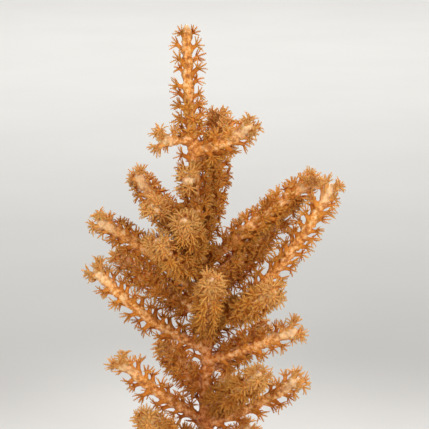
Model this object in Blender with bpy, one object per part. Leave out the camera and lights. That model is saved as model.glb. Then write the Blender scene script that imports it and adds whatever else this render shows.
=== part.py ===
"""A gorgonian coral colony: an upright stem on a cut-off holdfast, branches on all sides, and polyps in rows.

The origin is the middle of the flat cut under the holdfast, +Z is up, and -Y is the side that faces the
viewer. Sizes below are in millimetres and angles in degrees. The scene itself is in metres.
"""

import math
from collections import namedtuple

import bmesh
import bpy
from mathutils import Vector

MM = 0.001

# Stem: points that its middle line passes through, from the cut to the growing tip
STEM_NAME = "stem_and_holdfast"
STEM_LINE = [
    (0.0, 0.0, 0.0),
    (-0.2, 0.0, 8.0),
    (0.0, 0.2, 18.0),
    (0.5, 0.0, 33.0),
    (-0.4, -0.2, 46.0),
    (-1.3, 0.0, 60.0),
    (-2.1, 0.3, 73.0),
    (-3.0, 0.0, 86.0),
    (-3.4, -0.2, 99.7),
]
STEM_RADII = [(9.0, 1.3), (20.0, 1.1), (60.0, 1.0), (88.0, 0.9), (95.0, 0.8), (98.4, 0.5)]
STEM_POLYPS_FROM = 11.0

# Holdfast: a low lobed foot that flares out of the stem, as (height, radius)
HOLDFAST_PROFILE = [(0.0, 10.0), (0.8, 9.3), (1.7, 6.2), (2.8, 3.6), (4.4, 2.2)]
HOLDFAST_SIDES = 12
HOLDFAST_LOBES = [(3, 0.9, 0.07), (5, 2.4, 0.05)]
NECK_HEIGHT = 6.8
NECK_RADIUS = 1.6

FRONT = Vector((0, -1, 0))
RIGHT = Vector((1, 0, 0))
UP = Vector((0, 0, 1))

# Rows of polyps on a shoot's six sides, taken by turns from one segment to the next. Side 0 is the one
# that faces a named way. It and its opposite are bare on the open shoots, and it alone on the fuller ones
SIDE_ROWS = [(1, 4), (2, 5)]
BARE_FRONT = [(1, 3, 5), (2, 4)]
ALL_ROUND = [(0, 2, 4), (1, 3, 5)]

# Branches: where each leaves the stem, its compass heading (0 is +X, 90 is +Y), how far it turns,
# its length, how steeply it rises at its base and at its tip, the way side 0 faces, and its rows
Branch = namedtuple("Branch", "name height heading turn length rise_base rise_tip facing rows")
BRANCHES = [
    Branch("branch_lowest_right_back", 9.2, 30, 12, 13.6, 18, 36, FRONT, SIDE_ROWS),
    Branch("branch_lowest_left_front", 13.7, -127, 8, 24.0, 17, 36, RIGHT, ALL_ROUND),
    Branch("branch_lowest_back", 13.8, 78, -8, 21.0, 14, 36, RIGHT, SIDE_ROWS),
    Branch("branch_low_right", 17.4, -19, 6, 23.2, 22, 38, FRONT, SIDE_ROWS),
    Branch("branch_low_left", 18.6, -166, -6, 22.4, 30, 46, FRONT, SIDE_ROWS),
    Branch("branch_low_right_front", 22.0, -63, 8, 24.4, 19, 38, RIGHT, ALL_ROUND),
    Branch("branch_low_left_back", 24.4, 112, 10, 20.5, 5, 24, RIGHT, ALL_ROUND),
    Branch("branch_mid_right_back", 29.2, 34, 10, 17.0, 14, 32, FRONT, ALL_ROUND),
    Branch("branch_mid_right", 31.0, -24, 10, 21.0, 20, 27, FRONT, SIDE_ROWS),
    Branch("branch_mid_left", 33.6, -160, -10, 29.8, 26, 51, FRONT, SIDE_ROWS),
    Branch("branch_long_right", 37.0, -12, 12, 40.8, 37, 65, FRONT, SIDE_ROWS),
    Branch("branch_mid_front", 36.6, -90, 8, 26.0, 30, 48, RIGHT, ALL_ROUND),
    Branch("branch_mid_left_back", 41.0, 150, 10, 22.4, 16, 40, FRONT, ALL_ROUND),
    Branch("branch_mid_right_front", 40.6, -57, 8, 25.2, 12, 33, RIGHT, ALL_ROUND),
    Branch("branch_high_left", 44.6, 176, 4, 26.5, 44, 29, FRONT, BARE_FRONT),
    Branch("branch_high_right_back", 44.8, 58, -12, 22.0, 10, 28, UP, ALL_ROUND),
    Branch("branch_inner_right", 46.6, 20, 6, 26.0, 30, 48, UP, ALL_ROUND),
    Branch("branch_high_left_front", 49.6, -126, 8, 19.0, 20, 42, RIGHT, ALL_ROUND),
    Branch("branch_high_back", 50.2, 104, -8, 18.0, 16, 44, RIGHT, ALL_ROUND),
    Branch("branch_high_right", 50.0, 6, 8, 29.7, 44, 31, FRONT, BARE_FRONT),
    Branch("branch_high_front", 53.8, -104, 8, 19.0, 22, 42, RIGHT, ALL_ROUND),
    Branch("branch_riser_back", 55.4, 56, 40, 28.0, 48, 78, RIGHT, ALL_ROUND),
    Branch("branch_upper_left_back", 56.2, 150, -4, 19.4, 28, 50, FRONT, BARE_FRONT),
    Branch("branch_upper_left_front", 58.6, -136, 4, 15.0, 18, 34, RIGHT, ALL_ROUND),
    Branch("branch_top_left_front", 69.2, -104, 4, 7.4, 0, 8, RIGHT, SIDE_ROWS),
    Branch("branch_top_right_back", 73.0, 34, -4, 11.5, 16, 40, FRONT, SIDE_ROWS),
    Branch("branch_top_right", 74.2, -27, 8, 14.5, 10, 43, FRONT, SIDE_ROWS),
    Branch("branch_top_left", 76.6, -156, 0, 7.6, 0, 10, FRONT, SIDE_ROWS),
]
BRANCH_RADII = [(0.0, 0.85), (4.0, 0.96), (30.0, 0.9)]
FORK_GAP = 0.3
FIRST_RING = 3.2

# Every shoot has six sides, and a ring at the end of each segment. A habit says how long the segments are
# and how the tip is shaped. The stem has polyps all round between some heights, and side rows elsewhere
SIDES = 6
LINE_STEP = 0.2
Habit = namedtuple("Habit", "segment tip_length shoulder_from_end shoulder_radius tip_has_polyps")
STEM_HABIT = Habit(2.4, 1.3, 0.5, 0.34, False)
BRANCH_HABIT = Habit(2.15, 2.1, 0.8, 0.66, True)
STEM_ALL_ROUND = [(46.0, 71.0), (77.0, 84.0)]

# Polyps: short flared stubs drawn out of the sides. The last ones of a branch ring its tip and point
# forwards
LAST_SIDES = (1, 2, 4, 5)
POLYP_REACH = 3.0
POLYP_REACH_VARIES = 0.3
CROWN_HALF_WIDTH = 1.02
LAST_HALF_WIDTH = 0.85
POLYP_TILT = 22.0
TIP_TILT = 40.0
TIP_OVER = 5.0
TIP_SHORTENS = 0.45
LAST_TILT = 52.0
LAST_REACH = 2.6
LEAN_VARIES = 14.0
CLEAR_AT_FOOT = 1.75
CLEAR_AT_CROWN = 2.7
CROWNS_APART = 2.8

# A shoot as it is grown: its number, habit, line, length, facing and rows, the stretches that have polyps
# all round whatever its rows, and every line and crown
Shoot = namedtuple("Shoot", "owner habit line length facing rows all_round lines crowns")

FLESH_COLOUR = (0.78, 0.36, 0.10, 1.0)
FLESH_ROUGHNESS = 0.55


def clear_scene():
    for obj in list(bpy.data.objects):
        bpy.data.objects.remove(obj, do_unlink=True)


def between(table, at):
    """The value of a table of (place, value) pairs at a place, in straight lines between them."""
    if at <= table[0][0]:
        return table[0][1]
    for (low, first), (high, second) in zip(table, table[1:]):
        if at <= high:
            return first + (second - first) * (at - low) / (high - low)
    return table[-1][1]


def wobble(*keys):
    """A number from -1 to 1 that looks random and is the same on each run for the same keys."""
    mixed = sum(key * factor for key, factor in zip(keys, (12.9898, 78.233, 37.719, 4.581)))
    return 2 * (math.sin(mixed) * 43758.5453 % 1) - 1


def shoot_of(owner, habit, facing, rows, all_round, lines, crowns):
    line = lines[owner]
    return Shoot(owner, habit, line, LINE_STEP * (len(line) - 1), facing, rows, all_round, lines, crowns)


def stem_point(height):
    """The stem's middle at a height, on a smooth curve through STEM_LINE."""
    last = len(STEM_LINE) - 1
    k = max(i for i in range(last) if i == 0 or STEM_LINE[i][2] <= height)
    before, start, end, after = (
        Vector(STEM_LINE[min(max(i, 0), last)]) for i in (k - 1, k, k + 1, k + 2)
    )
    t = (height - start.z) / (end.z - start.z)
    curve = (
        2 * start
        + (end - before) * t
        + (2 * before - 5 * start + 4 * end - after) * t**2
        + (3 * start - before - 3 * end + after) * t**3
    ) / 2
    return Vector((curve.x, curve.y, height))


def stem_line():
    count = round(STEM_LINE[-1][2] / LINE_STEP)
    return [stem_point(STEM_LINE[-1][2] * i / count) for i in range(count + 1)]


def branch_line(branch):
    """Points a LINE_STEP apart from the middle of the stem to the branch's tip."""
    count = round(branch.length / LINE_STEP)
    point = stem_point(branch.height)
    line = [point]
    for i in range(count):
        share = (i + 0.5) / count
        heading = math.radians(branch.heading + branch.turn * share)
        rise = math.radians(branch.rise_base + (branch.rise_tip - branch.rise_base) * share)
        flat = math.cos(rise)
        way = Vector((flat * math.cos(heading), flat * math.sin(heading), math.sin(rise)))
        point = point + way * (branch.length / count)
        line.append(point)
    return line


def on_line(line, along):
    """The point and the direction at a distance along a line."""
    index = min(max(along / LINE_STEP, 0), len(line) - 1.001)
    k = int(index)
    way = (line[min(k + 2, len(line) - 1)] - line[max(k - 1, 0)]).normalized()
    return line[k].lerp(line[k + 1], index - k), way


def around(way, facing, degrees):
    """The unit vector square to a shoot, this far round from its side 0."""
    zero = (facing - way * facing.dot(way)).normalized()
    quarter = way.cross(zero)
    angle = math.radians(degrees)
    return zero * math.cos(angle) + quarter * math.sin(angle)


def ring_offsets(way, facing, radius):
    turn = 360 / SIDES
    return [around(way, facing, turn * (k - 0.5)) * radius for k in range(SIDES)]


def add_ring(mesh, centre, offsets):
    return [mesh.verts.new((centre + offset) * MM) for offset in offsets]


def coped_ring(mesh, base, way, offsets, stem_radius):
    """A ring whose corners are slid along the branch until they stand clear of the stem, and its middle."""
    level = Vector((way.x, way.y, 0))
    corners = []
    for offset in [*offsets, Vector((0, 0, 0))]:
        flat = Vector((offset.x, offset.y, 0))
        half = flat.dot(level) / level.length_squared
        rest = (flat.length_squared - stem_radius**2) / level.length_squared
        along = -half + math.sqrt(half**2 - rest)
        corners.append(mesh.verts.new((base + offset + way * along) * MM))
    return corners[:-1], corners[-1]


def join_rings(mesh, lower, upper):
    count = len(lower)
    return [
        mesh.faces.new((lower[k], lower[(k + 1) % count], upper[(k + 1) % count], upper[k]))
        for k in range(count)
    ]


def join_to_point(mesh, ring, point):
    for k, vert in enumerate(ring):
        mesh.faces.new((vert, ring[(k + 1) % len(ring)], point))


def polyp_at(shoot, segment, side, along, radius, last):
    """Where a polyp stands and how it opens: its foot, its crown's middle and the two axes of its crown."""
    middle, way = on_line(shoot.line, along)
    lean = LEAN_VARIES * wobble(shoot.owner, segment, side, 1)
    out = around(way, shoot.facing, 360 / SIDES * side + lean)
    near_tip = max(0.0, 1 - (shoot.length - along) / TIP_OVER)
    tilt = LAST_TILT if last else POLYP_TILT + (TIP_TILT - POLYP_TILT) * near_tip
    tilt = math.radians(tilt + LEAN_VARIES * wobble(shoot.owner, segment, side, 2))
    opens = out * math.cos(tilt) + way * math.sin(tilt)
    reach = LAST_REACH if last else POLYP_REACH * (1 - TIP_SHORTENS * near_tip)
    reach += POLYP_REACH_VARIES * wobble(shoot.owner, segment, side, 3)
    foot = middle + out * radius * math.cos(math.pi / SIDES)
    across = way.cross(out)
    return foot, foot + opens * reach, opens.cross(across), across


def has_room(owner, foot, crown, lines, crowns):
    """True if a polyp keeps clear of every other shoot and of every other shoot's crowns."""
    more_room = CLEAR_AT_CROWN - CLEAR_AT_FOOT
    samples = [(foot.lerp(crown, t), CLEAR_AT_FOOT + more_room * t) for t in (0.0, 0.5, 1.0)]
    for other, line in enumerate(lines):
        if other == owner:
            continue
        first = 0 if other == 0 else round(1.2 / LINE_STEP)
        for point in line[first::2]:
            if any((sample - point).length < clear for sample, clear in samples):
                return False
    return all(other == owner or (crown - taken).length > CROWNS_APART for other, taken in crowns)


def grow_polyps(mesh, faces, shoot, segment, sides, along, radius, last=False):
    """Draws faces of a segment out into flared stubs, where there is room for them."""
    half_width = LAST_HALF_WIDTH if last else CROWN_HALF_WIDTH
    for side in sides:
        foot, crown, up_axis, across = polyp_at(shoot, segment, side, along, radius, last)
        if not has_room(shoot.owner, foot, crown, shoot.lines, shoot.crowns):
            continue
        shoot.crowns.append((shoot.owner, crown))
        made = bmesh.ops.extrude_discrete_faces(mesh, faces=[faces[side]])["faces"][0]
        corners = ((-1, -1), (-1, 1), (1, 1), (1, -1))
        for vert, (low_high, left_right) in zip(made.verts, corners):
            shift = up_axis * low_high + across * left_right
            vert.co = (crown + shift * half_width) * MM


def grow_shoot(mesh, ring, first, shoot, radii):
    """Carries a ring on to the shoot's tip, a segment at a time, with polyps on the way."""
    habit = shoot.habit
    count = round((shoot.length - habit.tip_length - first) / habit.segment)
    step = (shoot.length - habit.tip_length - first) / count
    for segment in range(count):
        along = first + step * (segment + 1)
        centre, way = on_line(shoot.line, along)
        radius = between(radii, along)
        upper = add_ring(mesh, centre, ring_offsets(way, shoot.facing, radius))
        faces = join_rings(mesh, ring, upper)
        is_full = any(low < along < high for low, high in shoot.all_round)
        rows = ALL_ROUND if is_full else shoot.rows
        grow_polyps(mesh, faces, shoot, segment, rows[segment % 2], along - step / 2, radius)
        ring = upper
    centre, way = on_line(shoot.line, shoot.length - habit.shoulder_from_end)
    shoulder = add_ring(mesh, centre, ring_offsets(way, shoot.facing, habit.shoulder_radius))
    faces = join_rings(mesh, ring, shoulder)
    if habit.tip_has_polyps:
        middle = shoot.length - (habit.tip_length + habit.shoulder_from_end) / 2
        grow_polyps(mesh, faces, shoot, count, LAST_SIDES, middle, habit.shoulder_radius, last=True)
    join_to_point(mesh, shoulder, mesh.verts.new(shoot.line[-1] * MM))


def lobed_ring(mesh, height, radius):
    """A ring of the holdfast, which is most lobed at the cut and round where it meets the stem."""
    centre = stem_point(height)
    fade = 1 - height / HOLDFAST_PROFILE[-1][0]
    ring = []
    for k in range(HOLDFAST_SIDES):
        angle = 2 * math.pi * (k - 1) / HOLDFAST_SIDES - math.pi / 2
        lobes = sum(size * math.sin(count * angle + phase) for count, phase, size in HOLDFAST_LOBES)
        out = Vector((math.cos(angle), math.sin(angle), 0)) * radius * (1 + lobes * fade)
        ring.append(mesh.verts.new((centre + out) * MM))
    return ring


def halve_ring(mesh, wide, narrow):
    """Joins a ring of twice as many corners to the six-sided ring above it."""
    for k, vert in enumerate(narrow):
        after = narrow[(k + 1) % len(narrow)]
        here, middle, end = (wide[(2 * k + i) % len(wide)] for i in range(3))
        mesh.faces.new((here, middle, vert))
        mesh.faces.new((middle, after, vert))
        mesh.faces.new((middle, end, after))


def new_object(name, mesh):
    data = bpy.data.meshes.new(name)
    mesh.to_mesh(data)
    mesh.free()
    material = bpy.data.materials.new(name + "_flesh")
    material.use_nodes = True
    shader = material.node_tree.nodes["Principled BSDF"]
    shader.inputs["Base Color"].default_value = FLESH_COLOUR
    shader.inputs["Roughness"].default_value = FLESH_ROUGHNESS
    shader.inputs["Metallic"].default_value = 0.0
    data.materials.append(material)
    obj = bpy.data.objects.new(name, data)
    bpy.context.scene.collection.objects.link(obj)
    return obj


def build_stem(lines, crowns):
    mesh = bmesh.new()
    rings = [lobed_ring(mesh, height, radius) for height, radius in HOLDFAST_PROFILE]
    mesh.faces.new(rings[0][::-1])
    for lower, upper in zip(rings, rings[1:]):
        join_rings(mesh, lower, upper)
    neck = add_ring(mesh, stem_point(NECK_HEIGHT), ring_offsets(UP, FRONT, NECK_RADIUS))
    halve_ring(mesh, rings[-1], neck)
    first = add_ring(
        mesh,
        stem_point(STEM_POLYPS_FROM),
        ring_offsets(UP, FRONT, between(STEM_RADII, STEM_POLYPS_FROM)),
    )
    join_rings(mesh, neck, first)
    shoot = shoot_of(0, STEM_HABIT, FRONT, SIDE_ROWS, STEM_ALL_ROUND, lines, crowns)
    grow_shoot(mesh, first, STEM_POLYPS_FROM, shoot, STEM_RADII)
    return new_object(STEM_NAME, mesh)


def build_branch(owner, branch, lines, crowns):
    mesh = bmesh.new()
    line = lines[owner]
    facing = branch.facing
    _, way = on_line(line, 0)
    clear_of_stem = between(STEM_RADII, branch.height) + FORK_GAP
    coped, middle = coped_ring(
        mesh, line[0], way, ring_offsets(way, facing, BRANCH_RADII[0][1]), clear_of_stem
    )
    join_to_point(mesh, coped[::-1], middle)
    centre, way = on_line(line, FIRST_RING)
    first = add_ring(mesh, centre, ring_offsets(way, facing, between(BRANCH_RADII, FIRST_RING)))
    join_rings(mesh, coped, first)
    shoot = shoot_of(owner, BRANCH_HABIT, facing, branch.rows, [], lines, crowns)
    grow_shoot(mesh, first, FIRST_RING, shoot, BRANCH_RADII)
    return new_object(branch.name, mesh)


def main():
    clear_scene()
    lines = [stem_line(), *(branch_line(branch) for branch in BRANCHES)]
    crowns = []
    build_stem(lines, crowns)
    for owner, branch in enumerate(BRANCHES, start=1):
        build_branch(owner, branch, lines, crowns)


main()
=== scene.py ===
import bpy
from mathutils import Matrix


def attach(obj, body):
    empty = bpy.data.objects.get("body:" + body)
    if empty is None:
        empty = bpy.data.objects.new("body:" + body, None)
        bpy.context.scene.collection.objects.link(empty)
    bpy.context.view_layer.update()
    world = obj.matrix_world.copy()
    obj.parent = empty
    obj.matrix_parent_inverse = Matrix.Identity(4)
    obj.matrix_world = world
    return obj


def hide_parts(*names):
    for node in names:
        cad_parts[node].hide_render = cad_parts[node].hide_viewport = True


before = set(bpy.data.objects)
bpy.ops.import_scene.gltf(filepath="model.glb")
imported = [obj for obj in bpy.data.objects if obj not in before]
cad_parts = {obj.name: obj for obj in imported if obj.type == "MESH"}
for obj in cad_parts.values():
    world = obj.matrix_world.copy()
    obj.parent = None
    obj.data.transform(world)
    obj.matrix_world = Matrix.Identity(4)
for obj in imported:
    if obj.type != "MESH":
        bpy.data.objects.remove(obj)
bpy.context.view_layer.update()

import math

import bpy
import numpy as np
from mathutils import Vector, noise

mm = 0.001
front, right, up = Vector((0, -1, 0)), Vector((1, 0, 0)), Vector((0, 0, 1))


def report(stage):
    print("coral:", stage, flush=True)


# How the colony grows, in millimetres and degrees. The lines are those of the solids, so every piece
# lies along the solid that it stands for
stemPlan = {
    "node": "stem_and_holdfast",
    "line": [
        (0.0, 0.0, 0.0), (-0.2, 0.0, 8.0), (0.0, 0.2, 18.0), (0.5, 0.0, 33.0), (-0.4, -0.2, 46.0),
        (-1.3, 0.0, 60.0), (-2.1, 0.3, 73.0), (-3.0, 0.0, 86.0), (-3.4, -0.2, 99.7),
    ],
    "radii": [(0.0, 1.5), (9.0, 1.3), (20.0, 1.05), (60.0, 0.95), (88.0, 0.86), (95.0, 0.82), (98.4, 0.72)],
    "fleshFrom": 3.0,
    "firstPolyp": 11.0,
    "allRoundFrom": [(46.0, 71.0), (77.0, 84.0)],
    "pitch": 2.4,
    "tipLength": 1.3,
    "tipShortens": 0.62,
    "bluntness": 2.1,
    "paleOver": 1.6,
    "paleMost": 1.0,
    "youngAndUnshadedFrom": 0.85,  # also the share of the stem above which a branch has no old, browner flesh and no painted shade of the colony's inside
    "collar": 0.0,
}
sixth = 60.0  # polyps stand in rows a sixth of a turn apart
sideRows = [(1, 4), (2, 5)]  # sixths of a turn from the way a shoot faces, by turns along it
bareFront = [(1, 2, 3, 4, 5)] * 2
thinFront = [(0, 1, 2, 3, 4, 5), (1, 2, 3, 4, 5)]
allRound = [(0, 1, 2, 3, 4, 5)] * 2
branchPlan = {
    "radii": [(0.0, 0.8), (4.0, 0.84), (30.0, 0.76)],  # of the rind, by the way along it
    "fleshFrom": 0.2,
    "firstPolyp": 2.6,
    "allRoundFrom": [],  # stretches with polyps all round, whatever the rows say
    "pitch": 1.95,
    "tipLength": 2.1,  # the end past the regular rows, which bears the last whorls
    "tipShortens": 0.35,  # the share of their reach that polyps lose at the tip
    "bluntness": 1.9,  # higher is squarer
    "paleOver": 6.0,  # how far from the tip the flesh is pale
    "paleMost": 0.9,
    "youngAndUnshadedFrom": 0.7,  # the share of its length past which a shoot's flesh has its young colour, free of browner old flesh and painted shade
    "collar": 0.5,  # how much a branch swells where it leaves the stem
    # name, height on the stem, heading, turn, length, rise at base, rise at tip, faces, rows of polyps
    "shoots": [
        ("lowest_right_back", 9.2, 30, 12, 13.6, 18, 36, front, sideRows),
        ("lowest_left_front", 13.7, -127, 8, 24.0, 17, 36, right, allRound),
        ("lowest_back", 13.8, 78, -8, 21.0, 14, 36, right, sideRows),
        ("low_right", 17.4, -19, 6, 23.2, 22, 38, front, sideRows),
        ("low_left", 18.6, -166, -6, 22.4, 30, 46, front, sideRows),
        ("low_right_front", 22.0, -63, 8, 24.4, 19, 38, right, allRound),
        ("low_left_back", 24.4, 112, 10, 20.5, 5, 24, right, allRound),
        ("mid_right_back", 29.2, 34, 10, 17.0, 14, 32, front, allRound),
        ("mid_right", 31.0, -24, 10, 21.0, 20, 27, front, sideRows),
        ("mid_left", 33.6, -160, -10, 29.8, 26, 51, front, sideRows),
        ("long_right", 37.0, -12, 12, 40.8, 37, 65, front, sideRows),
        ("mid_front", 36.6, -90, 8, 26.0, 30, 48, right, allRound),
        ("mid_left_back", 41.0, 150, 10, 22.4, 16, 40, front, allRound),
        ("mid_right_front", 40.6, -57, 8, 25.2, 12, 33, right, allRound),
        ("high_left", 44.6, 176, 4, 26.5, 44, 29, front, bareFront),
        ("high_right_back", 44.8, 58, -12, 22.0, 10, 28, up, allRound),
        ("inner_right", 46.6, 20, 6, 26.0, 30, 48, up, allRound),
        ("high_left_front", 49.6, -126, 8, 19.0, 20, 42, right, allRound),
        ("high_back", 50.2, 104, -8, 18.0, 16, 44, right, allRound),
        ("high_right", 50.0, 6, 8, 29.7, 44, 31, front, thinFront),
        ("high_front", 53.8, -104, 8, 19.0, 22, 42, right, allRound),
        ("riser_back", 55.4, 56, 40, 28.0, 48, 78, right, allRound),
        ("upper_left_back", 56.2, 150, -4, 19.4, 28, 50, front, bareFront),
        ("upper_left_front", 58.6, -136, 4, 15.0, 18, 34, right, allRound),
        ("top_left_front", 69.2, -104, 4, 7.4, 0, 8, right, sideRows),
        ("top_right_back", 73.0, 34, -4, 11.5, 16, 40, front, sideRows),
        ("top_right", 74.2, -27, 8, 14.5, 10, 43, front, sideRows),
        ("top_left", 76.6, -156, 0, 7.6, 0, 10, front, sideRows),
    ],
}
lineStep = 0.2
endMargin = 1.001  # in steps, so that a place on a line always has a point after it
wobbleFactors = (12.9898, 78.233, 37.719, 4.581)  # unlike each other, so that near keys differ
wobbleSpread = 43758.5453


def between(table, at):
    return float(np.interp(at, [place for place, value in table], [value for place, value in table]))


def wobble(*keys):  # from -1 to 1, the same on each run for the same keys
    mixed = sum(key * factor for key, factor in zip(keys, wobbleFactors))
    return 2 * (math.sin(mixed) * wobbleSpread % 1) - 1


def stemPoint(height):  # on a smooth curve through the points of the stem's line
    points = stemPlan["line"]
    last = len(points) - 1
    k = max(i for i in range(last) if i == 0 or points[i][2] <= height)
    before, start, end, after = (Vector(points[min(max(i, 0), last)]) for i in (k - 1, k, k + 1, k + 2))
    t = (height - start.z) / (end.z - start.z)
    curve = (2 * start + (end - before) * t + (2 * before - 5 * start + 4 * end - after) * t**2
             + (3 * start - before - 3 * end + after) * t**3) / 2
    return Vector((curve.x, curve.y, height))


def stemLine():
    height = stemPlan["line"][-1][2]
    count = round(height / lineStep)
    return [stemPoint(height * i / count) for i in range(count + 1)]


def branchLine(height, heading, turn, length, riseBase, riseTip):
    count = round(length / lineStep)
    line = [stemPoint(height)]
    for i in range(count):
        share = (i + 0.5) / count
        h = math.radians(heading + turn * share)
        r = math.radians(riseBase + (riseTip - riseBase) * share)
        way = Vector((math.cos(r) * math.cos(h), math.cos(r) * math.sin(h), math.sin(r)))
        line.append(line[-1] + way * (length / count))
    return line


def onLine(line, along):
    index = min(max(along / lineStep, 0), len(line) - endMargin)
    k = int(index)
    way = (line[min(k + 2, len(line) - 1)] - line[max(k - 1, 0)]).normalized()
    return line[k].lerp(line[k + 1], index - k), way


def around(way, faces, degrees):
    zero = (faces - way * faces.dot(way)).normalized()
    angle = math.radians(degrees)
    return zero * math.cos(angle) + way.cross(zero) * math.sin(angle)


# Where the polyps stand, segment by segment, and which way they open
polypPlan = {
    "alongVaries": 0.3,
    "footOut": 0.9,  # how far out a polyp's foot is, as a share of the rind's radius
    "reach": 3.0,  # from the flesh to the tips of the tentacles
    "reachVaries": 0.15,
    "openReach": 1.09,  # the open shoots' polyps stretch further than the crowded ones'
    "crowdedReach": 0.97,
    "tilt": 22.0,
    "tipTilt": 40.0,
    "tipOver": 5.0,
    "last": (50.0, 2.9),  # tilt and reach of the last whorl of a branch
    "bareEnd": 0.8,  # that whorl stands halfway between this and the tip's length from the end
    "end": (40.0, 1.5),  # tilt and reach of the young polyps round its very tip
    "endBack": 1.25,  # how far those stand from the end
    "endSides": (0.5, 2.5, 4.5),  # in sixths of a turn, so between the rows
    "leanVaries": 14.0,
    "clearAtCrown": 1.25,  # the least distance from the middle line of any other shoot
    "clearHalfWay": 1.05,
    "clearFrom": 1.2,  # a branch's line counts from here, about where it leaves the stem's rind
    "clearEvery": 2,  # and by every second point
    "crownsApart": 0.9,  # between shoots. Tentacles are longer than this, so some interlace
}


def growthList():
    shoots = [{**stemPlan, "name": "stem_and_holdfast_flesh", "line": stemLine(), "faces": front,
               "rows": sideRows, "slot": "stem_flesh", "height": 0.0}]
    for name, height, heading, turn, length, low, high, faces, rows in branchPlan["shoots"]:
        shoots.append({**branchPlan, "name": name + "_shoot", "node": "branch_" + name,
                       "line": branchLine(height, heading, turn, length, low, high), "faces": faces,
                       "rows": rows, "slot": "branch_flesh", "height": height})
    # Below this height the flesh is browner with age and darker with painted shade, most at the foot
    oldAndShadedUpTo = shoots[0]["line"][-1].z * stemPlan["youngAndUnshadedFrom"]
    for number, shoot in enumerate(shoots):
        shoot["number"] = number
        shoot["length"] = lineStep * (len(shoot["line"]) - 1)
        shoot["footAge"] = max(0.0, 1 - shoot["height"] / oldAndShadedUpTo)
        first = round(polypPlan["clearFrom"] / lineStep) if number else 0
        shoot["points"] = np.array([tuple(p) for p in shoot["line"]])[first::polypPlan["clearEvery"]]
    return shoots


def palenessAt(shoot, along):  # 1 at a pale growing tip
    return shoot["paleMost"] * max(0.0, 1 - (shoot["length"] - along) / shoot["paleOver"])


def ageAndShadeAt(shoot, along):  # 1 at the foot of the stem, in the oldest flesh, which is browner and also darkened with painted shade, as the colony's inside is shaded
    return shoot["footAge"] * max(0.0, 1 - along / (shoot["length"] * shoot["youngAndUnshadedFrom"]))


def polypAt(shoot, segment, side, along, whorl=None):
    p = polypPlan
    middle, way = onLine(shoot["line"], along)
    keys = shoot["number"], segment, side  # the fourth key tells one use of wobble from another
    out = around(way, shoot["faces"], side * sixth + p["leanVaries"] * wobble(*keys, 1))
    nearTip = max(0.0, 1 - (shoot["length"] - along) / p["tipOver"])
    tilt = p["tilt"] + (p["tipTilt"] - p["tilt"]) * nearTip
    reach = p["reach"] * (1 - shoot["tipShortens"] * nearTip)
    if whorl:
        tilt, reach = p[whorl]
    tilt = math.radians(tilt + p["leanVaries"] * wobble(*keys, 2))
    reach *= p["openReach"] if shoot["rows"] is sideRows else p["crowdedReach"]
    reach *= 1 + p["reachVaries"] * wobble(*keys, 3)
    foot = middle + out * between(shoot["radii"], along) * p["footOut"]
    opens = out * math.cos(tilt) + way * math.sin(tilt)
    return {"foot": foot, "opens": opens, "way": way, "reach": reach, "crown": foot + opens * reach,
            "pale": palenessAt(shoot, along), "ageAndShade": ageAndShadeAt(shoot, along)}


def roomFor(polyp, shoot, shoots, crowns):
    crown, half = np.array(polyp["crown"]), np.array(polyp["foot"].lerp(polyp["crown"], 0.5))
    for other in shoots:
        if other is not shoot:
            if np.min(np.linalg.norm(other["points"] - crown, axis=1)) < polypPlan["clearAtCrown"]:
                return False
            if np.min(np.linalg.norm(other["points"] - half, axis=1)) < polypPlan["clearHalfWay"]:
                return False
    others = [taken for number, taken in crowns if number != shoot["number"]]
    return all((polyp["crown"] - taken).length > polypPlan["crownsApart"] for taken in others)


def polypsOf(shoot, shoots, crowns):
    p = polypPlan
    first, tipLength, isBranch = shoot["firstPolyp"], shoot["tipLength"], shoot["number"] > 0
    grown = shoot["length"] - tipLength - first
    count = round(grown / shoot["pitch"])
    step = grown / count
    wanted = []
    for segment in range(count):
        middle = first + step * (segment + 0.5)
        isFull = any(low < middle < high for low, high in shoot["allRoundFrom"])
        rows = allRound if isFull else shoot["rows"]
        for side in rows[segment % 2]:
            shift = p["alongVaries"] * wobble(shoot["number"], segment, side, 4)
            wanted.append(polypAt(shoot, segment, side, middle + shift))
    if isBranch:
        lastPlace = shoot["length"] - (tipLength + p["bareEnd"]) / 2
        for side in sorted({side for sides in shoot["rows"] for side in sides}):
            wanted.append(polypAt(shoot, count, side, lastPlace, "last"))
        for side in p["endSides"]:
            wanted.append(polypAt(shoot, count + 1, side, shoot["length"] - p["endBack"], "end"))
    found = []
    for polyp in wanted:
        if roomFor(polyp, shoot, shoots, crowns):
            crowns.append((shoot["number"], polyp["crown"]))
            found.append(polyp)
    return found


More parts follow.
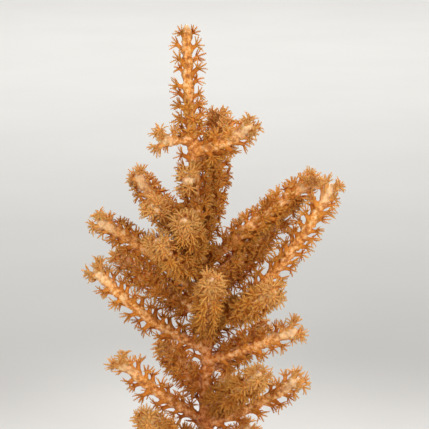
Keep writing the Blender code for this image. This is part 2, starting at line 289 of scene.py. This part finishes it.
# One open polyp: a stalk that widens into the flesh, a disc with a mouth, and eight tentacles with a fringe
# of pinnules down both edges. Sizes are in millimetres. A tentacle's rings and pinnules stand at shares of
# its length
polypShape = {
    "seed": 500,
    "stretches": (0.92, 1.08),  # how much the polyps differ in height, least and most
    "thickens": 0.7,  # the power of its size by which a polyp's stalk grows thicker
    "stalkSides": 7,
    "stalkRings": [(-0.5, 0.95), (0.0, 0.85), (0.22, 0.66), (0.55, 0.46), (1.15, 0.38), (1.6, 0.46)],
    "stalkVaries": (0.95, 1.05),
    "footWidth": 0.6,  # across the shoot, as a share of the foot's length along it
    "roundFrom": 0.6,  # the height at which that oval foot has turned round
    "lip": 0.24,
    "lipRise": 0.05,
    "mouthDepth": 0.1,
    "bend": 0.22,  # towards the shoot's tip, on average
    "leanVaries": 0.2,
    "tentacles": 8,
    "tentacleSides": 4,
    "tentacleFoot": 0.33,
    "tentacleSink": 0.04,  # how far under the disc's edge they start
    "tentacleLength": 1.65,
    "tentacleRings": [(0.0, 0.18), (0.3, 0.16), (0.6, 0.135), (0.86, 0.095)],
    "flatness": 0.85,
    "turnVaries": 0.1,
    "rise": (0.5, 0.9),  # how steeply the tentacles leave the disc, in radians, least and most
    "curl": (-0.4, 0.7),  # how far they bend outwards
    "unlike": 0.22,  # how much the tentacles of one polyp differ in that
    "sway": 0.65,  # how far they bend sideways
    "lengths": (0.78, 1.16),
    "pinnules": [(0.22, 0.34), (0.44, 0.39), (0.65, 0.36), (0.85, 0.27)],
    "pinnuleRadius": 0.095,
    "pinnuleLengths": (0.8, 1.15),
    "pinnuleForward": 0.55,
    "pinnuleLifts": (-0.1, 0.35),
    "steps": 16,  # along a tentacle's path
    # How far out each part is, from 0 at the foot of the stalk to 1 at the tips, for its colour
    "outAt": {"discEdge": 0.33, "lip": 0.3, "mouth": 0.1, "tentacle": 0.35, "tentacleGains": 0.65,
              "pinnuleGains": 0.6},
}
pinnuleCorners = 4  # three on the tentacle and one at the pinnule's tip


def ringFaces(lower, upper, sides):  # the triangles between two rings that start at these points
    faces = []
    for k in range(sides):
        n = (k + 1) % sides
        faces += [(lower + k, lower + n, upper + n), (lower + k, upper + n, upper + k)]
    return faces


def fanFaces(ring, sides, apex):
    return [(ring + k, ring + (k + 1) % sides, apex) for k in range(sides)]


def lidFaces(ring, sides):
    return [(ring, ring + k + 1, ring + k) for k in range(1, sides - 1)]


def polypFaces():
    s = polypShape
    sides, rings = s["stalkSides"], len(s["stalkRings"]) + 1
    faces = lidFaces(0, sides)
    for r in range(rings - 1):
        faces += ringFaces(r * sides, (r + 1) * sides, sides)
    mouth = rings * sides
    faces += fanFaces(mouth - sides, sides, mouth)
    corners, tRings = s["tentacleSides"], len(s["tentacleRings"])
    fringe = len(s["pinnules"]) * 2 * pinnuleCorners
    perTentacle = tRings * corners + 1 + fringe
    for t in range(s["tentacles"]):
        base = mouth + 1 + t * perTentacle
        faces += lidFaces(base, corners)
        for r in range(tRings - 1):
            faces += ringFaces(base + r * corners, base + (r + 1) * corners, corners)
        apex = base + tRings * corners
        faces += fanFaces(apex - corners, corners, apex)
        for a in range(apex + 1, apex + 1 + fringe, pinnuleCorners):
            faces += [(a, a + 1, a + 3), (a + 1, a + 2, a + 3), (a + 2, a, a + 3), (a, a + 2, a + 1)]
    return np.array(faces, np.int32)


def polypPoints(rng, size):  # +Z along the stalk, and with each point how far out it is, from 0 to 1
    s, outAt = polypShape, polypShape["outAt"]
    sides, count, steps = s["stalkSides"], s["tentacles"], s["steps"]
    stretch = size * rng.uniform(*s["stretches"])
    lean = rng.uniform(-s["leanVaries"], s["leanVaries"], 2) + (s["bend"], 0)
    top = s["stalkRings"][-1][0] * stretch
    angles = np.arange(sides) * 2 * math.pi / sides + rng.uniform(0, 1)
    circle = np.stack([np.cos(angles), np.sin(angles), np.zeros(sides)], axis=1)

    def middle(z):  # the stalk leans a little more towards its top
        share = max(0.0, z / top)
        return np.array([lean[0] * share**2, lean[1] * share**2, z])

    points, outness = [], []
    for z, radius in s["stalkRings"]:
        height = z * stretch if z > 0 else z
        narrow = s["footWidth"] + (1 - s["footWidth"]) * min(1.0, max(0.0, z) / s["roundFrom"])
        oval = circle * radius * size**s["thickens"] * rng.uniform(*s["stalkVaries"]) * (1.0, narrow, 1.0)
        points.append(middle(height) + oval)
        outness.append(np.full(sides, outAt["discEdge"] * max(height, 0) / top))
    lip = top + s["lipRise"]
    points += [middle(lip) + circle * s["lip"], middle(lip - s["mouthDepth"])[None, :]]
    outness += [np.full(sides, outAt["lip"]), np.array([outAt["mouth"]])]

    turn = angles[0] + (np.arange(count) + 0.5) * 2 * math.pi / count
    turn = turn + rng.uniform(-s["turnVaries"], s["turnVaries"], count)
    flat = np.stack([np.cos(turn), np.sin(turn), np.zeros(count)], axis=1)
    side = np.stack([-np.sin(turn), np.cos(turn), np.zeros(count)], axis=1)
    length = s["tentacleLength"] * stretch**0.5 * rng.uniform(*s["lengths"], count)
    unlike = s["unlike"]
    riseBase = rng.uniform(*s["rise"]) + rng.uniform(-unlike, unlike, count)
    riseTip = riseBase - rng.uniform(*s["curl"]) + rng.uniform(-2 * unlike, 2 * unlike, count)
    u = (np.arange(steps) + 0.5) / steps
    rise = (riseBase[:, None] + (riseTip - riseBase)[:, None] * u)[..., None]
    yaw = (rng.uniform(-s["sway"], s["sway"], count)[:, None] * u)[..., None]
    level = flat[:, None] * np.cos(yaw) + side[:, None] * np.sin(yaw)
    ways = level * np.cos(rise) + np.array([0, 0, 1.0]) * np.sin(rise)
    start = middle(top - s["tentacleSink"]) + flat * s["tentacleFoot"]
    path = start[:, None] + np.cumsum(ways * (length / steps)[:, None, None], axis=1)
    path = np.concatenate([start[:, None], path], axis=1)

    def along(shares):  # middles, ways and lifts of every tentacle at these shares of its length
        index = np.array(shares) * steps
        k = np.minimum(index.astype(int), steps - 1)
        centres = path[:, k] + (path[:, k + 1] - path[:, k]) * (index - k)[None, :, None]
        return centres, ways[:, k], np.cross(ways[:, k], side[:, None])

    shares, radii = zip(*s["tentacleRings"])
    centres, _, lifts = along(shares)
    corner = np.arange(s["tentacleSides"]) * 2 * math.pi / s["tentacleSides"]
    across = side[:, None, None] * np.cos(corner)[:, None]
    spoke = across + lifts[:, :, None] * np.sin(corner)[:, None] * s["flatness"]
    tubes = centres[:, :, None] + spoke * np.array(radii)[:, None, None]
    tubeOut = np.repeat(outAt["tentacle"] + outAt["tentacleGains"] * np.array(shares), s["tentacleSides"])

    shares, reaches = zip(*s["pinnules"])
    centres, forward, lifts = along(shares)
    hands = np.array([-1.0, 1.0])[:, None]
    reach = np.array(reaches)[:, None] * rng.uniform(*s["pinnuleLengths"], (count, len(shares), 2))
    reach = reach[..., None]
    radius = s["pinnuleRadius"]
    centres, forward, lifts = (a[:, :, None] for a in (centres, forward, lifts))
    apex = (centres + side[:, None, None] * hands * reach + forward * reach * s["pinnuleForward"]
            + lifts * reach * rng.uniform(*s["pinnuleLifts"], reach.shape))
    ahead, back = centres + forward * hands * radius, centres - forward * hands * radius
    fringe = np.stack([ahead, back, np.broadcast_to(centres + lifts * radius, back.shape), apex], axis=3)
    fringeOut = np.ones((len(shares), 2, pinnuleCorners))
    rooted = outAt["tentacle"] + outAt["pinnuleGains"] * np.array(shares)
    fringeOut[..., :pinnuleCorners - 1] = rooted[:, None, None]

    tentacles = [tubes.reshape(count, -1, 3), path[:, -1:], fringe.reshape(count, -1, 3)]
    points.append(np.concatenate(tentacles, axis=1).reshape(-1, 3))
    outness.append(np.tile(np.concatenate([tubeOut, [1.0], fringeOut.ravel()]), count))
    return np.concatenate(points), np.concatenate(outness)


def placePolyp(points, polyp):
    axis, way = np.array(polyp["opens"]), np.array(polyp["way"])
    across = np.cross(axis, way)
    across /= np.linalg.norm(across)
    return np.array(polyp["foot"]) + points @ np.stack([np.cross(across, axis), across, axis])


# The flesh of a shoot: an uneven round rind, raised into a low mound under each polyp, with small lumps
# between them and a blunt growing tip
fleshShape = {
    "sides": 28,
    "ringEvery": 0.28,
    "tipPast": 0.6,  # how much longer than tipLength the rounded end is
    "tipRings": 12,
    "collarUpTo": 0.9,  # a branch's swollen foot is full as far as this, and then fades
    "collarFades": 0.65,
    "unevenness": 0.45,
    "unevenTimes": (1.0, 2.1),  # hollows and swellings about 1 mm and 0.5 mm across
    "moundHeight": 0.42,
    "moundWidth": 0.72,
    "seed": 900,
    "lumpsFrom": 1.0,
    "lumpsEnd": 0.8,
    "lumpEvery": 0.22,
    "lumpHeight": 0.34,
    "lumpWidth": 0.36,
    "lumpSizes": (0.5, 1.2),  # closed buds and grains, least and most
}


def fleshOf(shoot, polyps):
    f = fleshShape
    line, length, sides = shoot["line"], shoot["length"], f["sides"]
    tip = shoot["tipLength"] + f["tipPast"]
    tipStart = length - tip
    stops = list(np.arange(shoot["fleshFrom"], tipStart, f["ringEvery"]))
    quarters = np.linspace(0, 1, f["tipRings"] + 1)[:-1]
    stops += [tipStart + tip * math.sin(math.pi / 2 * t) for t in quarters]
    angles = np.arange(sides) * 2 * math.pi / sides
    rings, outs, paleness, agesAndShades = [], [], [], []
    for along in stops:
        centre, way = onLine(line, along)
        zero = np.array(around(way, shoot["faces"], 0))
        quarter = np.cross(np.array(way), zero)
        intoTip = max(0.0, (along - tipStart) / tip)
        swollen = shoot["collar"] * math.exp(-max(0.0, along - f["collarUpTo"]) / f["collarFades"])
        radius = (between(shoot["radii"], along) + swollen) * (1 - intoTip**shoot["bluntness"]) ** 0.5
        out = np.outer(np.cos(angles), zero) + np.outer(np.sin(angles), quarter)
        ring = np.array(centre) + out * radius
        uneven = [sum(noise.noise(Vector(p) * times) * 0.5 for times in f["unevenTimes"]) for p in ring]
        rings.append(ring + out * (np.array(uneven) * f["unevenness"] * (1 - intoTip))[:, None])
        outs.append(out)
        paleness.append(np.full(sides, palenessAt(shoot, along)))
        agesAndShades.append(np.full(sides, ageAndShadeAt(shoot, along)))
    points, outs = np.concatenate(rings), np.concatenate(outs)
    mounds = [(np.array(polyp["foot"]), f["moundHeight"], f["moundWidth"]) for polyp in polyps]
    rng = np.random.default_rng(f["seed"] + shoot["number"])
    for along in np.arange(shoot["fleshFrom"] + f["lumpsFrom"], length - f["lumpsEnd"], f["lumpEvery"]):
        centre, way = onLine(line, along)
        out = around(way, shoot["faces"], rng.uniform(0, 360))
        size = rng.uniform(*f["lumpSizes"])
        place = np.array(centre + out * between(shoot["radii"], along))
        mounds.append((place, f["lumpHeight"] * size, f["lumpWidth"] * size))
    for place, height, width in mounds:
        away = np.linalg.norm(points - place, axis=1)
        points = points + outs * (height * np.exp(-((away / width) ** 2)))[:, None]
    faces = []
    for r in range(len(stops) - 1):
        faces += ringFaces(r * sides, (r + 1) * sides, sides)
    tipPoint = len(stops) * sides
    faces += fanFaces(tipPoint - sides, sides, tipPoint) + lidFaces(0, sides)
    points = np.concatenate([points, np.array(line[-1])[None, :]])
    values = {"paleness": np.append(np.concatenate(paleness), shoot["paleMost"]),
              "ageAndShade": np.append(np.concatenate(agesAndShades), 0.0), "outness": np.zeros(len(points))}
    return points, np.array(faces, np.int32), values


# The spreading foot that held the colony fast, from the flat cut up to the bare stem
holdfastShape = {
    "profile": [(0.0, 9.85), (0.35, 9.8), (0.8, 9.3), (1.2, 8.1), (1.7, 6.3), (2.2, 4.75), (2.8, 3.65),
                (3.6, 2.7), (4.4, 2.15), (5.4, 1.8), (6.8, 1.55), (8.0, 1.38)],
    "lobes": [(3, 0.9, 0.07), (5, 2.4, 0.05)],  # how many round the foot, phase, and share of the radius
    "wrinkles": 0.045,
    "wrinklesRound": 2.2,  # higher is closer together
    "wrinklesUp": 0.6,
    "flareTop": 4.4,
    "sides": 72,
}


def holdfast():
    h = holdfastShape
    sides, wide = h["sides"], h["wrinklesRound"]
    angles = np.arange(sides) * 2 * math.pi / sides
    circle = np.stack([np.cos(angles), np.sin(angles), np.zeros(sides)], axis=1)
    rings = []
    for height, radius in h["profile"]:
        fade = max(0.0, 1 - height / h["flareTop"])
        shape = 1 + fade * sum(size * np.sin(count * angles + phase) for count, phase, size in h["lobes"])
        rise = height * h["wrinklesUp"]
        fine = [noise.noise(Vector((math.cos(a) * wide, math.sin(a) * wide, rise))) for a in angles]
        shape += fade * h["wrinkles"] * np.array(fine)
        rings.append(np.array(stemPoint(height)) + circle * (radius * shape)[:, None])
    faces = lidFaces(0, sides)
    for r in range(len(rings) - 1):
        faces += ringFaces(r * sides, (r + 1) * sides, sides)
    top = len(rings) * sides
    faces += fanFaces(top - sides, sides, top)
    points = np.concatenate(rings + [np.array(stemPoint(h["profile"][-1][0]))[None, :]])
    none = np.zeros(len(points))
    return points, np.array(faces, np.int32), {"paleness": none, "ageAndShade": none + 1, "outness": none}


# Materials
def hexColour(text):
    parts = [int(text[i:i + 2], 16) / 255 for i in (1, 3, 5)]
    return tuple(c / 12.92 if c <= 0.04045 else ((c + 0.055) / 1.055) ** 2.4 for c in parts) + (1.0,)


def perMetre(size):  # a pattern's scale, from the size in millimetres of one of its features
    return 1000.0 / size


# The colour sockets of a Mix node share their names with others, so they go by place
mixShare, mixUnder, mixOver, mixOut = 0, 6, 7, 2


def addNode(tree, kind, settings, links=None, stops=()):
    node = tree.nodes.new(kind)
    for name, value in settings.items():
        if isinstance(name, int) or name in node.inputs:
            node.inputs[name].default_value = value
        else:
            setattr(node, name, value)
    for name, source in (links or {}).items():
        tree.links.new(source, node.inputs[name])
    for i, (place, colour) in enumerate(stops):
        mark = node.color_ramp.elements[i] if i < 2 else node.color_ramp.elements.new(place)
        mark.position, mark.color = place, hexColour(colour)
    return node


def newMaterial(name):
    material = bpy.data.materials.new(name)
    material.use_nodes = True
    material.node_tree.nodes.clear()
    return material, material.node_tree


# Living coral rind, grown: wet flesh packed with grains of lime. The grains give it a sugary, satin
# surface. Its patches run from deep orange through amber to pale peach. The oldest flesh, at the foot of
# the stem and at the feet of the low branches, is browner with age and darker with painted shade, as the
# colony's inside is shaded, and the growing tips are cream. Patches are half the rind's 1.8 mm across,
# lumps about a third. Lime grains are 0.1 to 0.2 mm and are drawn at 0.24 mm, as coarse as it takes to show
rindLook = {
    "flesh": [(0.37, "#BA7430"), (0.5, "#F2AA50"), (0.63, "#FFD69E")],  # hollow, body and highlight
    "lime": [(0.35, "#D6A878"), (0.62, "#FFFFFF")],
    "limeShare": 0.6,
    "growingTip": "#FFDEAE",
    "tipEasing": 1.4,  # higher keeps the cream nearer the tip
    # browner old flesh, together with painted shade of the colony's inside near the stem
    "oldAndShaded": "#C89A74",
    "blotch": 0.9, "lump": 0.55, "grain": 0.24,  # millimetres
    "lumpDepth": 0.35, "grainDepth": 0.07,
    "roughness": (0.42, 0.6),
    "grainRange": (0.3, 0.7),
    "glowDepth": 0.35,
}


def makeRind():
    look = rindLook
    material, tree = newMaterial("living coral rind grown grainy")
    at = addNode(tree, "ShaderNodeTexCoord", {}).outputs["Object"]
    blotch = addNode(tree, "ShaderNodeTexNoise",
                     {"Scale": perMetre(look["blotch"]), "Detail": 3.0, "Roughness": 0.55}, {"Vector": at})
    grain = addNode(tree, "ShaderNodeTexNoise",
                    {"Scale": perMetre(look["grain"]), "Detail": 2.0, "Roughness": 0.6}, {"Vector": at})
    flesh = addNode(tree, "ShaderNodeValToRGB", {}, {"Fac": blotch.outputs["Fac"]}, look["flesh"])
    lime = addNode(tree, "ShaderNodeValToRGB", {}, {"Fac": grain.outputs["Fac"]}, look["lime"])
    grained = addNode(tree, "ShaderNodeMix",
                      {"data_type": "RGBA", "blend_type": "MULTIPLY", mixShare: look["limeShare"]},
                      {mixUnder: flesh.outputs["Color"], mixOver: lime.outputs["Color"]})
    # Browner old flesh and painted shade, low on the stem and at the feet of the low branches
    ageAndShade = addNode(tree, "ShaderNodeAttribute", {"attribute_name": "ageAndShade"})
    agedAndShaded = addNode(tree, "ShaderNodeMix",
                   {"data_type": "RGBA", "blend_type": "MULTIPLY", mixOver: hexColour(look["oldAndShaded"])},
                   {mixShare: ageAndShade.outputs["Fac"], mixUnder: grained.outputs[mixOut]})
    pale = addNode(tree, "ShaderNodeAttribute", {"attribute_name": "paleness"})
    easing = addNode(tree, "ShaderNodeMath", {"operation": "POWER", 1: look["tipEasing"]},
                     {0: pale.outputs["Fac"]})
    ends = addNode(tree, "ShaderNodeMix", {"data_type": "RGBA", mixOver: hexColour(look["growingTip"])},
                   {mixShare: easing.outputs[0], mixUnder: agedAndShaded.outputs[mixOut]})
    lump = addNode(tree, "ShaderNodeTexNoise", {"Scale": perMetre(look["lump"]), "Detail": 1.0},
                   {"Vector": at})
    lumps = addNode(tree, "ShaderNodeBump", {"Strength": 0.8, "Distance": look["lumpDepth"] * mm},
                    {"Height": lump.outputs["Fac"]})
    bump = addNode(tree, "ShaderNodeBump", {"Strength": 0.6, "Distance": look["grainDepth"] * mm},
                   {"Height": grain.outputs["Fac"], "Normal": lumps.outputs["Normal"]})
    low, high = look["grainRange"]
    smooth, dull = look["roughness"]
    rough = addNode(tree, "ShaderNodeMapRange",
                    {"From Min": low, "From Max": high, "To Min": smooth, "To Max": dull},
                    {"Value": grain.outputs["Fac"]})
    shader = addNode(tree, "ShaderNodeBsdfPrincipled",
                     {"Specular IOR Level": 0.35, "Subsurface Weight": 0.25,
                      "Subsurface Radius": (1.0, 0.65, 0.35), "Subsurface Scale": look["glowDepth"] * mm},
                     {"Base Color": ends.outputs[mixOut], "Roughness": rough.outputs["Result"],
                      "Normal": bump.outputs["Normal"]})
    addNode(tree, "ShaderNodeOutputMaterial", {}, {"Surface": shader.outputs[0]})
    return material


# Polyp flesh, grown and swollen with water: thin and see-through enough to glow, amber in the stalk and
# disc and golden in the tentacles. Low on the stem and at the feet of the low branches it is browner with
# age and darker with painted shade, as the colony's inside is shaded. Patches of painted shade, two
# polyps across, darken it as crowded polyps shade each other. The specks of lime in the flesh are
# under 0.2 mm and are drawn as mottling of 0.5 mm, as coarse as it takes to show
polypLook = {
    "flesh": [(0.0, "#F4A846"), (0.34, "#F2A648"), (0.62, "#FFB850"), (1.0, "#FFC466")],  # stalk to tip
    "specks": [(0.35, "#DDB078"), (0.65, "#FFFFFF")],
    "speckShare": 0.5,
    # painted shade: darker patches two polyps across, as crowded polyps shade each other
    "shades": [(0.38, "#BC8A4C"), (0.58, "#FFFFFF")],
    "shadeShare": 0.5,
    "growingTip": "#FFC272",
    # browner old flesh, together with painted shade of the colony's inside near the stem
    "oldAndShaded": "#C8A074",
    "mottle": 0.5, "shade": 5.2,  # millimetres
    "mottleDepth": 0.03,
    "roughness": 0.55,
    "seeThrough": 0.25,
    "glowDepth": 0.3,
}


def makePolyp():
    look = polypLook
    material, tree = newMaterial("polyp flesh grown watery")
    at = addNode(tree, "ShaderNodeTexCoord", {}).outputs["Object"]
    outness = addNode(tree, "ShaderNodeAttribute", {"attribute_name": "outness"})
    flesh = addNode(tree, "ShaderNodeValToRGB", {}, {"Fac": outness.outputs["Fac"]}, look["flesh"])
    mottle = addNode(tree, "ShaderNodeTexNoise", {"Scale": perMetre(look["mottle"]), "Detail": 2.0},
                     {"Vector": at})
    specks = addNode(tree, "ShaderNodeValToRGB", {}, {"Fac": mottle.outputs["Fac"]}, look["specks"])
    mottled = addNode(tree, "ShaderNodeMix",
                      {"data_type": "RGBA", "blend_type": "MULTIPLY", mixShare: look["speckShare"]},
                      {mixUnder: flesh.outputs["Color"], mixOver: specks.outputs["Color"]})
    # Painted shade in patches two polyps across, multiplied over the polyps' colour
    shade = addNode(tree, "ShaderNodeTexNoise", {"Scale": perMetre(look["shade"]), "Detail": 2.0},
                    {"Vector": at})
    shades = addNode(tree, "ShaderNodeValToRGB", {}, {"Fac": shade.outputs["Fac"]}, look["shades"])
    shaded = addNode(tree, "ShaderNodeMix",
                     {"data_type": "RGBA", "blend_type": "MULTIPLY", mixShare: look["shadeShare"]},
                     {mixUnder: mottled.outputs[mixOut], mixOver: shades.outputs["Color"]})
    # Browner old flesh and painted shade, low on the stem and at the feet of the low branches
    ageAndShade = addNode(tree, "ShaderNodeAttribute", {"attribute_name": "ageAndShade"})
    agedAndShaded = addNode(tree, "ShaderNodeMix",
                   {"data_type": "RGBA", "blend_type": "MULTIPLY", mixOver: hexColour(look["oldAndShaded"])},
                   {mixShare: ageAndShade.outputs["Fac"], mixUnder: shaded.outputs[mixOut]})
    pale = addNode(tree, "ShaderNodeAttribute", {"attribute_name": "paleness"})
    ends = addNode(tree, "ShaderNodeMix", {"data_type": "RGBA", mixOver: hexColour(look["growingTip"])},
                   {mixShare: pale.outputs["Fac"], mixUnder: agedAndShaded.outputs[mixOut]})
    bump = addNode(tree, "ShaderNodeBump", {"Strength": 0.35, "Distance": look["mottleDepth"] * mm},
                   {"Height": mottle.outputs["Fac"]})
    shader = addNode(tree, "ShaderNodeBsdfPrincipled",
                     {"Specular IOR Level": 0.15, "Roughness": look["roughness"], "Subsurface Weight": 0.3,
                      "Subsurface Radius": (1.0, 0.6, 0.35), "Subsurface Scale": look["glowDepth"] * mm},
                     {"Base Color": ends.outputs[mixOut], "Normal": bump.outputs["Normal"]})
    glow = addNode(tree, "ShaderNodeBsdfTranslucent", {}, {"Color": ends.outputs[mixOut]})
    both = addNode(tree, "ShaderNodeMixShader", {"Fac": look["seeThrough"]},
                   {1: shader.outputs[0], 2: glow.outputs[0]})
    addNode(tree, "ShaderNodeOutputMaterial", {}, {"Surface": both.outputs[0]})
    return material


rind, polypFlesh = makeRind(), makePolyp()
report("materials")


# The colony: each shoot is one mesh, its rind and its polyps together
def newPiece(name, points, faces, slots, values):
    mesh = bpy.data.meshes.new(name)
    mesh.vertices.add(len(points))
    mesh.vertices.foreach_set("co", (points * mm).astype(np.float32).ravel())
    mesh.loops.add(len(faces) * 3)
    mesh.loops.foreach_set("vertex_index", faces.ravel())
    mesh.polygons.add(len(faces))
    mesh.polygons.foreach_set("loop_start", np.arange(0, len(faces) * 3, 3, dtype=np.int32))
    mesh.polygons.foreach_set("material_index", slots.astype(np.int32))
    mesh.materials.append(rind)
    mesh.materials.append(polypFlesh)
    for label, numbers in values.items():
        mesh.attributes.new(label, "FLOAT", "POINT").data.foreach_set("value", numbers.astype(np.float32))
    mesh.update(calc_edges=True)
    mesh.validate()
    mesh.polygons.foreach_set("use_smooth", np.ones(len(mesh.polygons), bool))
    piece = bpy.data.objects.new(name, mesh)
    bpy.context.scene.collection.objects.link(piece)
    return piece


def buildShoot(shoot, polyps, topology):
    rindSlot, polypSlot = 0, 1
    parts = [(*fleshOf(shoot, polyps), rindSlot)]
    if shoot["number"] == 0:
        parts.append((*holdfast(), rindSlot))
    rng = np.random.default_rng(polypShape["seed"] + shoot["number"])
    for polyp in polyps:
        points, outness = polypPoints(rng, polyp["reach"] / polypPlan["reach"])
        values = {"paleness": np.full(len(points), polyp["pale"]), "ageAndShade": np.full(len(points), polyp["ageAndShade"]),
                  "outness": outness}
        parts.append((placePolyp(points, polyp), topology, values, polypSlot))
    starts = np.cumsum([0] + [len(points) for points, *_ in parts])
    piece = newPiece(
        shoot["name"],
        np.concatenate([points for points, *_ in parts]),
        np.concatenate([faces + start for (_, faces, *_), start in zip(parts, starts)]),
        np.concatenate([np.full(len(faces), material) for _, faces, _, material in parts]),
        {name: np.concatenate([values[name] for _, _, values, _ in parts]) for name in parts[0][2]},
    )
    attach(piece, "root")
    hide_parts(shoot["node"])
    return len(piece.data.polygons)


def buildColony():
    shoots, crowns, triangles = growthList(), [], []
    topology = polypFaces()
    openFirst = sorted(shoots, key=lambda shoot: shoot["rows"] is not sideRows)
    for shoot in openFirst:  # so the open ones choose their places first
        polyps = polypsOf(shoot, shoots, crowns)
        triangles.append(buildShoot(shoot, polyps, topology))
    report(f"{len(shoots)} shoots, {len(crowns)} polyps, {sum(triangles)} triangles,"
           f" at most {max(triangles)} a piece")


buildColony()

# Floor, light and camera
studio = {
    "floorHalf": 3.0,  # metres
    "floor": [(0.3, "#E9E7E3"), (0.7, "#ECEAE6")],
    "floorCloud": 60.0,
    "sky": "#F4F3F1", "skyStrength": 0.21,
    "lamps": [  # name, place in metres, aims at, width, power, spread in degrees
        ("key", (-0.09, -0.22, 0.155), (0.0, 0.0, 0.07), 0.07, 0.31, 180),
        ("fill", (0.15, -0.21, 0.155), (0.0, 0.0, 0.07), 0.08, 0.34, 180),
        ("rim", (0.04, 0.20, 0.20), (0.0, 0.0, 0.06), 0.10, 0.07, 50),
        ("floorWash", (0.0, 0.66, 1.0), (0.0, 0.70, 0.0), 1.0, 3.4, 80),
    ],
}
view = {"target": (2.1, 0.0, 61.45), "distance": 450.0, "elevation": 12.0, "lens": 188.8, "sensor": 36.0,
        "sees": (0.01, 20.0)}  # target, distance, lens and sensor in millimetres, sees in metres


# Matte painted board, rolled: a dull, very faintly clouded pale surface. Its clouds of 60 mm are coarser
# than a roller leaves, to show
def makeFloor():
    half = studio["floorHalf"]
    mesh = bpy.data.meshes.new("floor")
    corners = [(-half, -half, 0), (half, -half, 0), (half, half, 0), (-half, half, 0)]
    mesh.from_pydata(corners, [], [(0, 1, 2, 3)])
    floor = bpy.data.objects.new("floor", mesh)
    bpy.context.scene.collection.objects.link(floor)
    material, tree = newMaterial("matte painted board rolled")
    at = addNode(tree, "ShaderNodeTexCoord", {}).outputs["Object"]
    cloud = addNode(tree, "ShaderNodeTexNoise",
                    {"Scale": perMetre(studio["floorCloud"]), "Detail": 2.0}, {"Vector": at})
    paint = addNode(tree, "ShaderNodeValToRGB", {}, {"Fac": cloud.outputs["Fac"]}, studio["floor"])
    shader = addNode(tree, "ShaderNodeBsdfPrincipled", {"Roughness": 0.85, "Specular IOR Level": 0.2},
                     {"Base Color": paint.outputs["Color"]})
    addNode(tree, "ShaderNodeOutputMaterial", {}, {"Surface": shader.outputs[0]})
    mesh.materials.append(material)


def makeLamps():
    for name, place, aim, width, power, spread in studio["lamps"]:
        data = bpy.data.lights.new(name, "AREA")
        data.size, data.energy, data.spread = width, power, math.radians(spread)
        lamp = bpy.data.objects.new(name, data)
        lamp.location = place
        lamp.rotation_euler = (Vector(aim) - Vector(place)).to_track_quat("-Z", "Y").to_euler()
        bpy.context.scene.collection.objects.link(lamp)


def makeStudio():
    scene = bpy.context.scene
    world = bpy.data.worlds.new("studio")
    world.use_nodes = True
    backdrop = world.node_tree.nodes["Background"]
    backdrop.inputs["Color"].default_value = hexColour(studio["sky"])
    backdrop.inputs["Strength"].default_value = studio["skyStrength"]
    scene.world = world
    scene.view_settings.view_transform = "Standard"


def makeCamera():
    data = bpy.data.cameras.new("camera")
    data.lens, data.sensor_width = view["lens"], view["sensor"]
    data.clip_start, data.clip_end = view["sees"]
    camera = bpy.data.objects.new("camera", data)
    tilt = math.radians(view["elevation"])
    back = Vector((0, -math.cos(tilt), math.sin(tilt)))
    camera.location = (Vector(view["target"]) + back * view["distance"]) * mm
    camera.rotation_euler = (math.pi / 2 - tilt, 0, 0)
    bpy.context.scene.collection.objects.link(camera)
    bpy.context.scene.camera = camera


makeFloor()
makeLamps()
makeStudio()
makeCamera()
report("studio")
